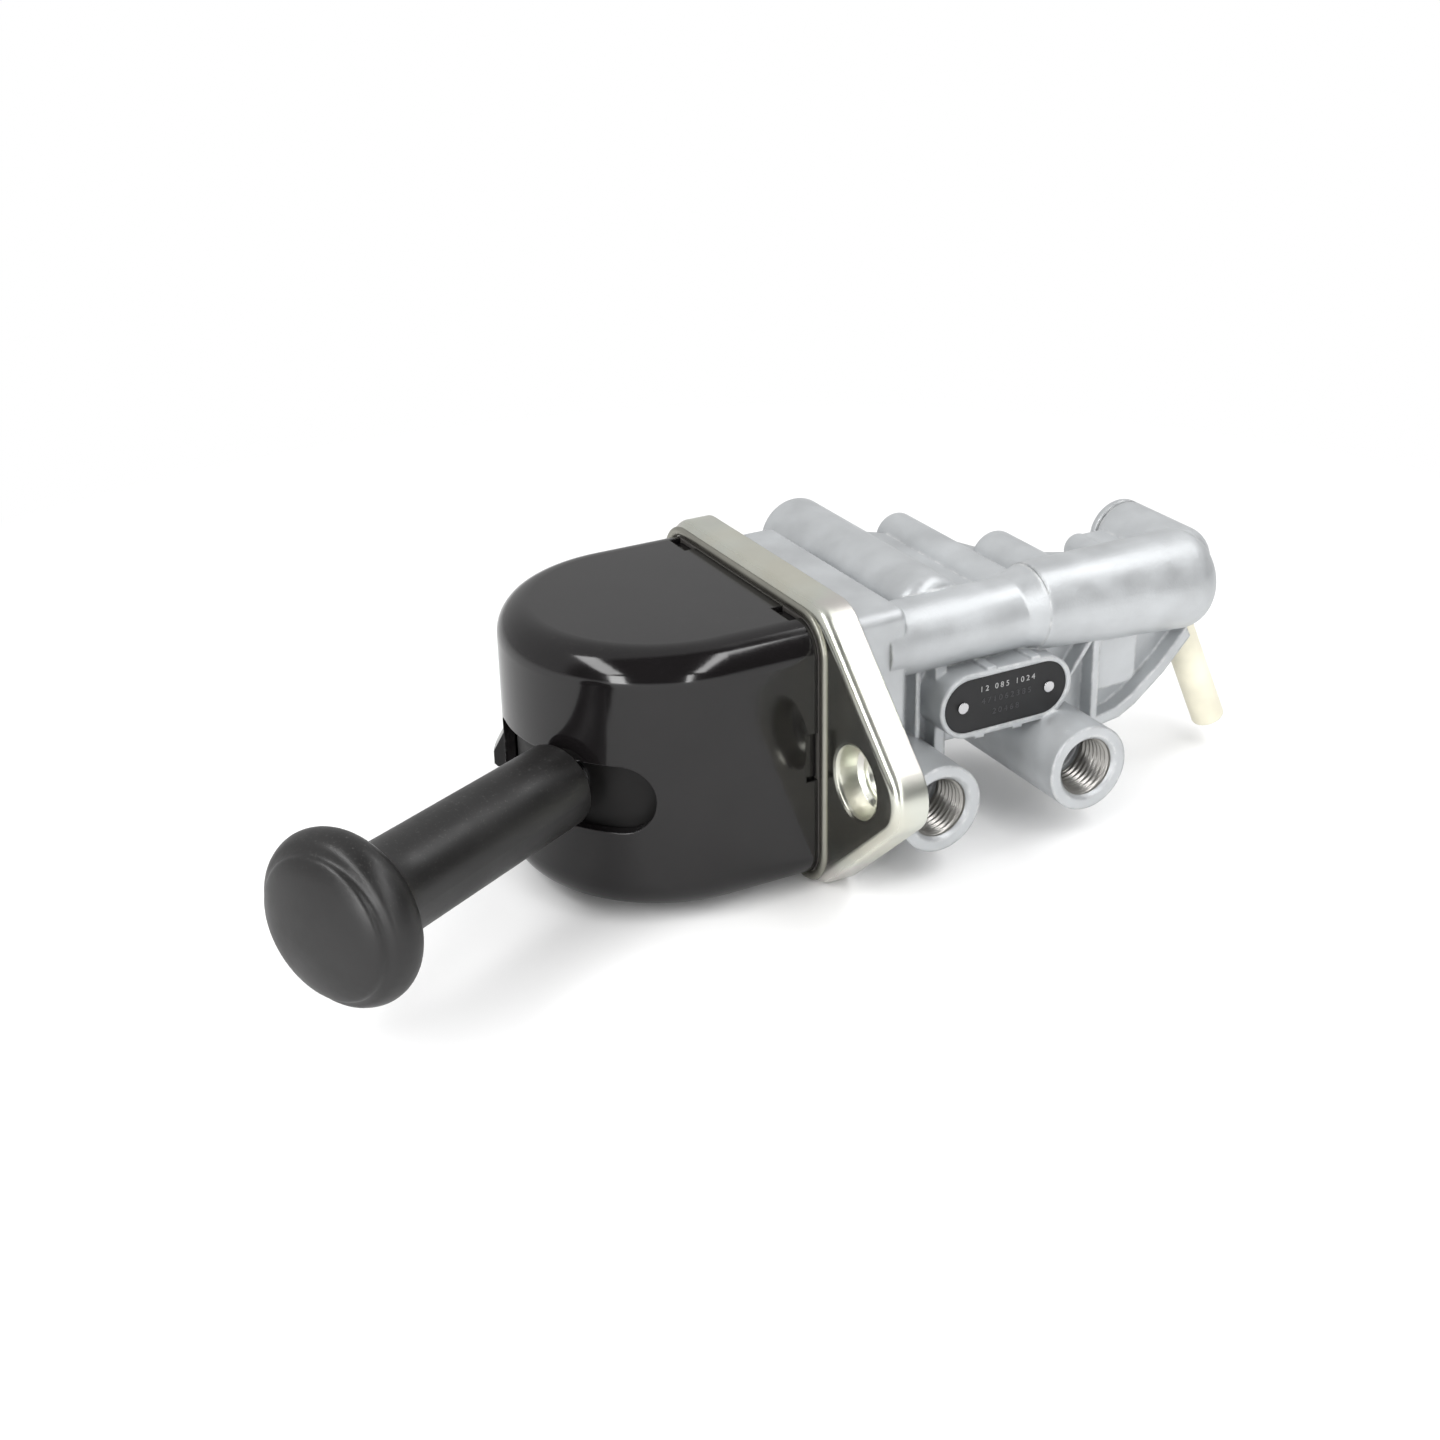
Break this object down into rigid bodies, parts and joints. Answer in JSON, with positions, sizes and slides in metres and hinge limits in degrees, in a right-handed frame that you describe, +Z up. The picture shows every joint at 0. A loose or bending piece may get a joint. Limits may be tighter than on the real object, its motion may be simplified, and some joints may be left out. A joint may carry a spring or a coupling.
{
  "type": "parking brake valve",
  "caption": "Hand operated air brake valve: a lever with a sliding knob in a slotted black cover, a two hole flange plate and a cast body with side ports.",
  "frame": {"origin": "centre of the mounting plane, the rear rim of the flange plate", "axes": "+X from the lever to the rear of the body, -Y the way the ports face, +Z up through the flat of the cover"},
  "size_m": [0.2609, 0.1362, 0.0694],
  "materials": {
    "gloss_black": "glossy moulded black plastic",
    "matt_black": "matt moulded black plastic, faint grain",
    "cast_aluminium": "fine cast grain, satin",
    "machined_aluminium": "turned, bright",
    "zinc_steel": "zinc plated sheet steel with a faint yellow passivation",
    "bright_steel": "ground and polished steel",
    "spring_steel": "oiled spring wire",
    "brass": "turned brass",
    "rubber": "moulded nitrile rubber",
    "gasket": "rubber faced gasket sheet",
    "label_black": "dark anodised name plate",
    "cream_plastic": "cream coloured nylon tube",
    "white_plastic": "acetal bearing plastic"
  },
  "bodies": {
    "housing": {"cover": "gloss_black", "cover_gasket": "gasket", "hinge_pin": "bright_steel", "hinge_bracket": "zinc_steel", "return_spring": "spring_steel", "mounting_plate": "zinc_steel", "body_gasket": "gasket", "plate_screws": "zinc_steel", "valve_body": "cast_aluminium", "name_plate": "label_black", "name_plate_rivets": "bright_steel", "side_cap": "cast_aluminium", "exhaust_tube": "cream_plastic", "plunger_guide": "brass", "plunger_seal": "rubber", "inlet_seat": "brass", "valve_spring": "spring_steel", "valve_spring_seat": "brass", "large_passage_plug": "bright_steel", "small_passage_plugs": "bright_steel"},
    "lever": {"slot_shutter": "matt_black", "lever_hub": "machined_aluminium", "hinge_bushes": "white_plastic", "lever_rod": "bright_steel", "rod_collar": "zinc_steel", "grip_spring": "spring_steel"},
    "grip": {"grip": "matt_black", "grip_guide": "white_plastic"},
    "plunger": {"cam_plunger": "bright_steel", "graduating_spring": "spring_steel"},
    "piston": {"reaction_piston": "machined_aluminium", "piston_seals": "rubber"},
    "disc": {"valve_disc": "rubber"}
  },
  "joints": [
    {"name": "lever_turn", "type": "hinge", "parent": "housing", "child": "lever", "pos_m": [-0.0302, 0, 0], "axis": [0, 0, 1], "range_deg": [-37, 20], "stiffness_Nm_per_rad": 0.3},
    {"name": "grip_pull", "type": "slide", "parent": "lever", "child": "grip", "axis": [-0.887, -0.4617, 0], "range_m": [0, 0.006], "stiffness_N_per_m": 1500, "springref_m": -0.003},
    {"name": "plunger_slide", "type": "slide", "parent": "housing", "child": "plunger", "axis": [1, 0, 0], "range_m": [-0.006, 0.0033]},
    {"name": "piston_slide", "type": "slide", "parent": "housing", "child": "piston", "axis": [1, 0, 0], "range_m": [-0.0021, 0.0012]},
    {"name": "disc_lift", "type": "slide", "parent": "housing", "child": "disc", "axis": [1, 0, 0], "range_m": [0, 0.0015], "stiffness_N_per_m": 1500, "springref_m": -0.002}
  ],
  "couplings": [
    {"joint": "plunger_slide", "follows": "lever_turn", "m_per_rad": 0.009},
    {"joint": "piston_slide", "follows": "lever_turn", "m_per_rad": 0.00315}
  ]
}
